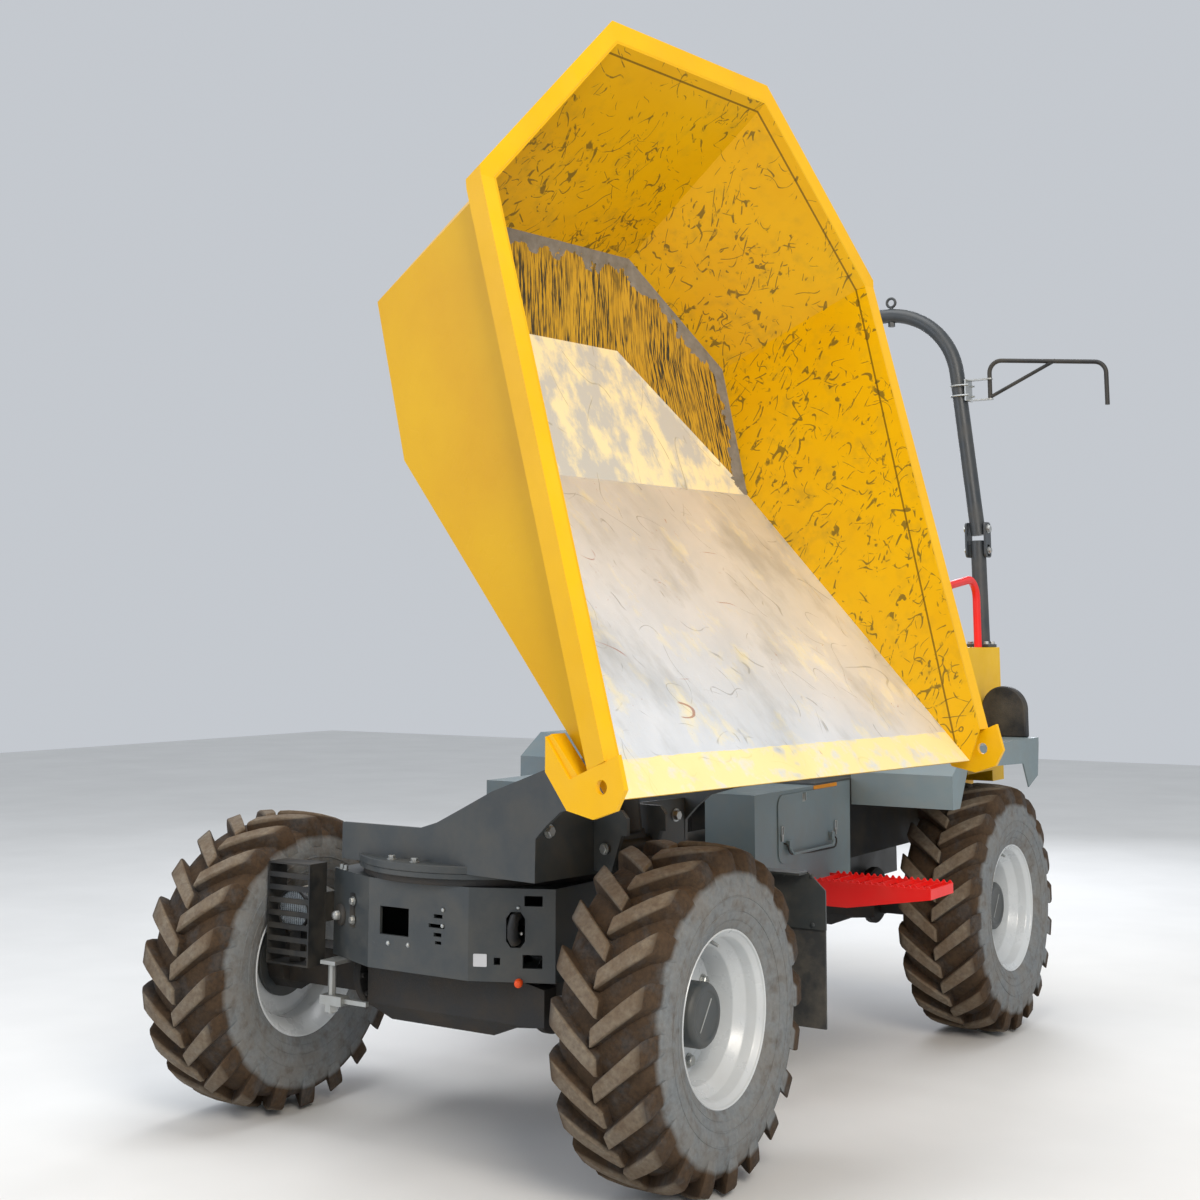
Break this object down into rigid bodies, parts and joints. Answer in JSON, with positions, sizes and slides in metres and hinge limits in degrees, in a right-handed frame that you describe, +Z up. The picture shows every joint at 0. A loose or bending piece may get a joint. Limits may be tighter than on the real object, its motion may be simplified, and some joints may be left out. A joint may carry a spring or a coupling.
{
  "type": "site dumper",
  "caption": "Articulated four-wheel site dumper with a raised, swivelled steel skip on a slewing console, side steps, open driving place and a roll-over hoop.",
  "frame": {"origin": "on the ground, under the middle of the whole machine as it stands with its skip raised to the side", "axes": "+X to the machine's left, +Y to its rear, +Z up"},
  "size_m": [2.4046, 3.3014, 2.9192],
  "materials": {
    "tyre": "rough",
    "rim": "gloss",
    "hub": "satin",
    "skip_paint": "worn gloss",
    "chassis_paint": "satin",
    "panel_paint": "satin",
    "body_paint": "gloss",
    "red_paint": "gloss",
    "steel": "worn",
    "rod_chrome": "polished",
    "cylinder_paint": "satin",
    "hoop_paint": "satin",
    "black_plastic": "matt",
    "rubber": "matt",
    "seat_cover": "matt",
    "engine": "cast",
    "lamp_glass": "clear",
    "grille_paint": "satin"
  },
  "bodies": {
    "rear_chassis": {"rear_frame": "chassis_paint", "rear_axle": "chassis_paint", "engine_block": "engine", "side_boxes": "panel_paint", "operator_deck": "chassis_paint", "fenders": "panel_paint", "steps": "red_paint", "seat_base": "black_plastic", "seat_pads": "seat_cover", "dash": "black_plastic", "steering_wheel": "black_plastic", "casing": "body_paint", "rear_lamps": "black_plastic", "handrails": "red_paint", "rops_posts": "hoop_paint", "tail_hitch": "chassis_paint"},
    "front_chassis": {"front_frame": "chassis_paint", "front_axle": "chassis_paint", "slew_ring": "steel", "lamp_guards": "grille_paint", "headlamps": "lamp_glass", "mudguards": "chassis_paint", "mud_flaps": "rubber", "tow_pin": "steel"},
    "console": {"console_base": "chassis_paint", "console_cheeks": "chassis_paint", "ram_ears": "chassis_paint"},
    "skip": {"skip_shell": "skip_paint", "skip_rim": "skip_paint", "skip_ears": "skip_paint", "skip_brackets": "skip_paint"},
    "tip_barrels": {"tip_barrels": "cylinder_paint"},
    "tip_rods": {"tip_rods": "rod_chrome"},
    "steer_barrel": {"steer_barrel": "cylinder_paint"},
    "steer_rod": {"steer_rod": "rod_chrome"},
    "hood": {"hood": "body_paint", "hood_grille": "grille_paint"},
    "side_lid": {"side_lid": "panel_paint"},
    "rops_hoop": {"rops_hoop": "hoop_paint", "mirrors": "grille_paint"},
    "wheel_front_left": {"tyre_front_left": "tyre", "rim_front_left": "rim", "hub_front_left": "hub"},
    "wheel_front_right": {"tyre_front_right": "tyre", "rim_front_right": "rim", "hub_front_right": "hub"},
    "wheel_rear_left": {"tyre_rear_left": "tyre", "rim_rear_left": "rim", "hub_rear_left": "hub"},
    "wheel_rear_right": {"tyre_rear_right": "tyre", "rim_rear_right": "rim", "hub_rear_right": "hub"}
  },
  "joints": [
    {"name": "steer", "type": "hinge", "parent": "rear_chassis", "child": "front_chassis", "pos_m": [-0.07373, 0.13271, 0.56], "axis": [0, 0, 1], "range_deg": [-30, 30]},
    {"name": "swivel", "type": "hinge", "parent": "front_chassis", "child": "console", "pos_m": [-0.07373, -0.68729, 0.73], "axis": [0, 0, 1], "range_deg": [-172.13, 7.87]},
    {"name": "tip", "type": "hinge", "parent": "console", "child": "skip", "pos_m": [0.6593, -0.78861, 1.02], "axis": [0.1369, 0.9906, 0], "range_deg": [-67, 0]},
    {"name": "tip_barrels_swing", "type": "hinge", "parent": "console", "child": "tip_barrels", "pos_m": [0.42156, -0.75575, 0.805], "axis": [0.1369, 0.9906, 0], "range_deg": [-66.9, 0.5]},
    {"name": "tip_rods_slide", "type": "slide", "parent": "tip_barrels", "child": "tip_rods", "axis": [-0.1271, 0.0176, 0.9917], "range_m": [-0.3566, 0.0005]},
    {"name": "steer_barrel_swing", "type": "hinge", "parent": "rear_chassis", "child": "steer_barrel", "pos_m": [0.06626, 0.51271, 0.7], "axis": [0, 0, 1], "range_deg": [-14.7, 14.7]},
    {"name": "steer_rod_slide", "type": "slide", "parent": "steer_barrel", "child": "steer_rod", "axis": [0, -1, 0], "range_m": [-0.075, 0.075]},
    {"name": "hood_lift", "type": "hinge", "parent": "rear_chassis", "child": "hood", "pos_m": [-0.07373, 1.27871, 1.294], "axis": [1, 0, 0], "range_deg": [0, 60]},
    {"name": "side_lid_lift", "type": "hinge", "parent": "rear_chassis", "child": "side_lid", "pos_m": [0.42856, 0.29271, 0.87], "axis": [0, -1, 0], "range_deg": [0, 100]},
    {"name": "rops_fold", "type": "hinge", "parent": "rear_chassis", "child": "rops_hoop", "pos_m": [-0.07373, 1.60271, 1.76], "axis": [1, 0, 0], "range_deg": [-95, 0]},
    {"name": "spin_front_left", "type": "hinge", "parent": "front_chassis", "child": "wheel_front_left", "pos_m": [0.62126, -0.81729, 0.418], "axis": [1, 0, 0], "continuous": true},
    {"name": "spin_front_right", "type": "hinge", "parent": "front_chassis", "child": "wheel_front_right", "pos_m": [-0.76874, -0.81729, 0.418], "axis": [1, 0, 0], "continuous": true},
    {"name": "spin_rear_left", "type": "hinge", "parent": "rear_chassis", "child": "wheel_rear_left", "pos_m": [0.62126, 1.23271, 0.418], "axis": [1, 0, 0], "continuous": true},
    {"name": "spin_rear_right", "type": "hinge", "parent": "rear_chassis", "child": "wheel_rear_right", "pos_m": [-0.76874, 1.23271, 0.418], "axis": [1, 0, 0], "continuous": true}
  ],
  "couplings": [
    {"joint": "tip_barrels_swing", "follows": "tip", "ratio": 0.9891},
    {"joint": "tip_rods_slide", "follows": "tip", "m_per_rad": 0.30409},
    {"joint": "steer_barrel_swing", "follows": "steer", "ratio": 0.4787},
    {"joint": "steer_rod_slide", "follows": "steer", "m_per_rad": -0.1384}
  ]
}
